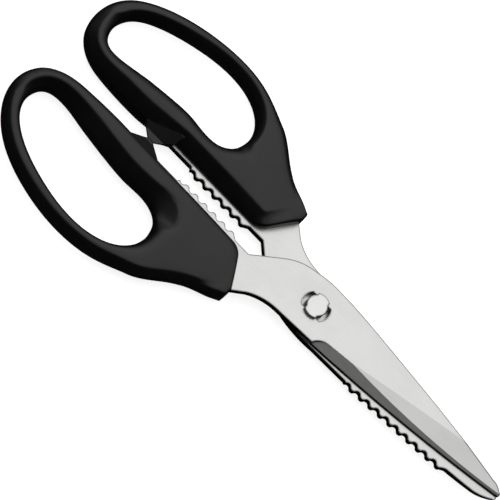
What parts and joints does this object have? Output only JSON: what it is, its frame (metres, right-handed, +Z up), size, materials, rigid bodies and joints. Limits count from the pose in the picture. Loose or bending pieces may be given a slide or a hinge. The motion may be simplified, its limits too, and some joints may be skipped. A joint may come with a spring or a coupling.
{
  "type": "poultry shears",
  "caption": "Take-apart poultry shears: two ground steel blades on an eared pivot stud, toothed gripping jaw, wavy scaler, looped moulded handles.",
  "frame": {"origin": "under the middle of the closed shears' bounding box, on the surface that they lie on", "axes": "+X along the closed blades to the tip, +Y to the side of the rear blade's handle, +Z up, the side of the pivot stud's head"},
  "size_m": [0.2227, 0.0956, 0.0124],
  "materials": {
    "blade_steel": "fine lengthwise grain, ground bevels",
    "stud_steel": "satin turned face",
    "handle_plastic": "satin black, fine moulded texture"
  },
  "bodies": {
    "rear_half": {"rear_blade": "blade_steel", "pivot_stud": "stud_steel", "rear_handle": "handle_plastic"},
    "front_half": {"front_blade": "blade_steel", "front_handle": "handle_plastic"}
  },
  "joints": [
    {"name": "blade_pivot", "type": "hinge", "parent": "rear_half", "child": "front_half", "pos_m": [0.019, 0.00125, 0.0062], "axis": [0, 0, 1], "range_deg": [0, 90]}
  ]
}
